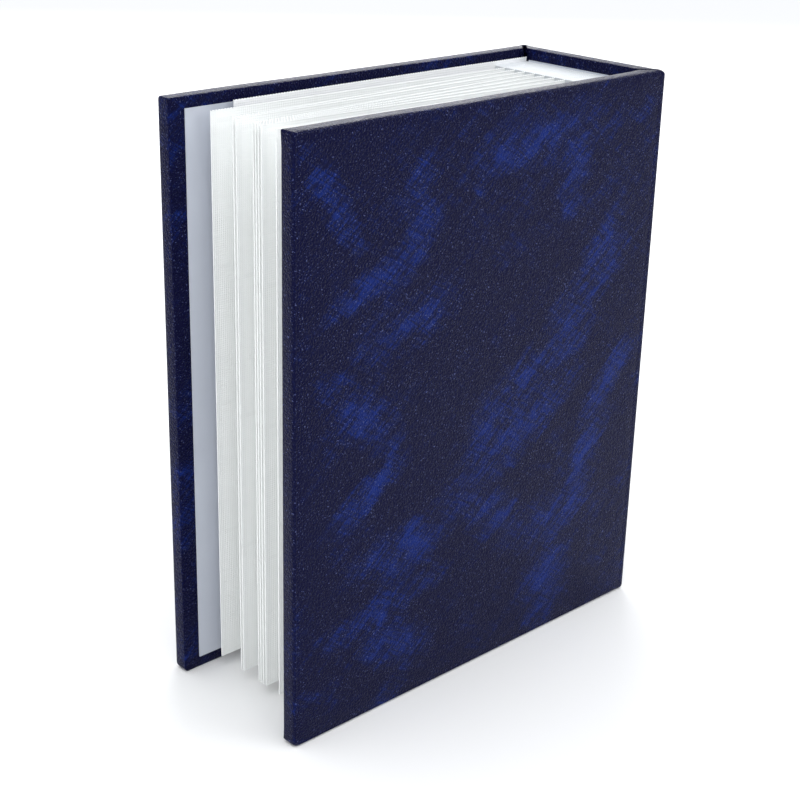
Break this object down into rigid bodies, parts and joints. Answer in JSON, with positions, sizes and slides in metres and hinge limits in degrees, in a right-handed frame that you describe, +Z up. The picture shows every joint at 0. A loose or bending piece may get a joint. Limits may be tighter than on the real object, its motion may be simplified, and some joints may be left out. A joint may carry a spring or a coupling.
{
  "type": "coin album",
  "caption": "Pocket coin album: padded square-backed case with hinged covers and a fanned block of clear pocket leaves for coins, standing on its bottom edges.",
  "frame": {"origin": "middle of the bottom of the closed album, on the surface that it stands on", "axes": "+Z up along the covers, +X out of the spine, -X out of the fore-edge, +Y out of the front cover, -Y out of the back cover"},
  "size_m": [0.121, 0.049, 0.148],
  "materials": {
    "leatherette": "satin",
    "foam": "matte",
    "greyboard": "matte",
    "endpaper": "matte",
    "backing_film": "satin",
    "pocket_film": "satin",
    "spacer_card": "matte"
  },
  "bodies": {
    "spine": {"flyleaf_bound_edge": "backing_film", "leaf_01_bound_edge": "backing_film", "leaf_02_bound_edge": "backing_film", "leaf_03_bound_edge": "backing_film", "leaf_04_bound_edge": "backing_film", "leaf_05_bound_edge": "backing_film", "leaf_06_bound_edge": "backing_film", "leaf_07_bound_edge": "backing_film", "leaf_08_bound_edge": "backing_film", "leaf_09_bound_edge": "backing_film", "leaf_10_bound_edge": "backing_film", "spacer_01": "spacer_card", "spacer_02": "spacer_card", "spacer_03": "spacer_card", "spacer_04": "spacer_card", "spacer_05": "spacer_card", "spacer_06": "spacer_card", "spacer_07": "spacer_card", "spacer_08": "spacer_card", "spacer_09": "spacer_card", "spacer_10": "spacer_card", "spacer_11": "spacer_card", "spine_board": "greyboard", "spine_leatherette": "leatherette", "spine_lining": "endpaper", "spine_padding": "foam"},
    "front_cover": {"front_cover_board": "greyboard", "front_cover_leatherette": "leatherette", "front_cover_padding": "foam", "front_cover_pastedown": "endpaper"},
    "back_cover": {"back_cover_board": "greyboard", "back_cover_leatherette": "leatherette", "back_cover_padding": "foam", "back_cover_pastedown": "endpaper"},
    "flyleaf": {"flyleaf_sheet": "backing_film"},
    "leaf_01": {"leaf_01_backing_film": "backing_film", "leaf_01_pocket_strips": "pocket_film"},
    "leaf_02": {"leaf_02_backing_film": "backing_film", "leaf_02_pocket_strips": "pocket_film"},
    "leaf_03": {"leaf_03_backing_film": "backing_film", "leaf_03_pocket_strips": "pocket_film"},
    "leaf_04": {"leaf_04_backing_film": "backing_film", "leaf_04_pocket_strips": "pocket_film"},
    "leaf_05": {"leaf_05_backing_film": "backing_film", "leaf_05_pocket_strips": "pocket_film"},
    "leaf_06": {"leaf_06_backing_film": "backing_film", "leaf_06_pocket_strips": "pocket_film"},
    "leaf_07": {"leaf_07_backing_film": "backing_film", "leaf_07_pocket_strips": "pocket_film"},
    "leaf_08": {"leaf_08_backing_film": "backing_film", "leaf_08_pocket_strips": "pocket_film"},
    "leaf_09": {"leaf_09_backing_film": "backing_film", "leaf_09_pocket_strips": "pocket_film"},
    "leaf_10": {"leaf_10_backing_film": "backing_film", "leaf_10_pocket_strips": "pocket_film"}
  },
  "joints": [
    {"name": "front_cover_hinge", "type": "hinge", "parent": "spine", "child": "front_cover", "pos_m": [0.0605, 0.0245, 0], "axis": [0, 0, -1], "range_deg": [0, 110]},
    {"name": "back_cover_hinge", "type": "hinge", "parent": "spine", "child": "back_cover", "pos_m": [0.0605, -0.0245, 0], "axis": [0, 0, 1], "range_deg": [0, 110]},
    {"name": "flyleaf_bend", "type": "hinge", "parent": "spine", "child": "flyleaf", "pos_m": [0.04295, 0.0191, 0], "axis": [0, 0, -1], "range_deg": [0, 89]},
    {"name": "leaf_01_bend", "type": "hinge", "parent": "spine", "child": "leaf_01", "pos_m": [0.04295, 0.0156, 0], "axis": [0, 0, -1], "range_deg": [0, 78]},
    {"name": "leaf_02_bend", "type": "hinge", "parent": "spine", "child": "leaf_02", "pos_m": [0.04295, 0.0121, 0], "axis": [0, 0, -1], "range_deg": [0, 65.9]},
    {"name": "leaf_03_bend", "type": "hinge", "parent": "spine", "child": "leaf_03", "pos_m": [0.04295, 0.0086, 0], "axis": [0, 0, -1], "range_deg": [0, 53.8]},
    {"name": "leaf_04_bend", "type": "hinge", "parent": "spine", "child": "leaf_04", "pos_m": [0.04295, 0.0051, 0], "axis": [0, 0, -1], "range_deg": [0, 41.7]},
    {"name": "leaf_05_bend", "type": "hinge", "parent": "spine", "child": "leaf_05", "pos_m": [0.04295, 0.0016, 0], "axis": [0, 0, -1], "range_deg": [0, 29.6]},
    {"name": "leaf_06_bend", "type": "hinge", "parent": "spine", "child": "leaf_06", "pos_m": [0.04295, -0.0019, 0], "axis": [0, 0, 1], "range_deg": [0, 29.6]},
    {"name": "leaf_07_bend", "type": "hinge", "parent": "spine", "child": "leaf_07", "pos_m": [0.04295, -0.0054, 0], "axis": [0, 0, 1], "range_deg": [0, 41.7]},
    {"name": "leaf_08_bend", "type": "hinge", "parent": "spine", "child": "leaf_08", "pos_m": [0.04295, -0.0089, 0], "axis": [0, 0, 1], "range_deg": [0, 53.8]},
    {"name": "leaf_09_bend", "type": "hinge", "parent": "spine", "child": "leaf_09", "pos_m": [0.04295, -0.0124, 0], "axis": [0, 0, 1], "range_deg": [0, 65.9]},
    {"name": "leaf_10_bend", "type": "hinge", "parent": "spine", "child": "leaf_10", "pos_m": [0.04295, -0.0159, 0], "axis": [0, 0, 1], "range_deg": [0, 78]}
  ],
  "couplings": [
    {"joint": "flyleaf_bend", "follows": "front_cover_hinge", "ratio": 0.8},
    {"joint": "leaf_01_bend", "follows": "front_cover_hinge", "ratio": 0.7},
    {"joint": "leaf_02_bend", "follows": "front_cover_hinge", "ratio": 0.59},
    {"joint": "leaf_03_bend", "follows": "front_cover_hinge", "ratio": 0.48},
    {"joint": "leaf_04_bend", "follows": "front_cover_hinge", "ratio": 0.37},
    {"joint": "leaf_05_bend", "follows": "front_cover_hinge", "ratio": 0.26},
    {"joint": "leaf_06_bend", "follows": "back_cover_hinge", "ratio": 0.26},
    {"joint": "leaf_07_bend", "follows": "back_cover_hinge", "ratio": 0.37},
    {"joint": "leaf_08_bend", "follows": "back_cover_hinge", "ratio": 0.48},
    {"joint": "leaf_09_bend", "follows": "back_cover_hinge", "ratio": 0.59},
    {"joint": "leaf_10_bend", "follows": "back_cover_hinge", "ratio": 0.7}
  ]
}
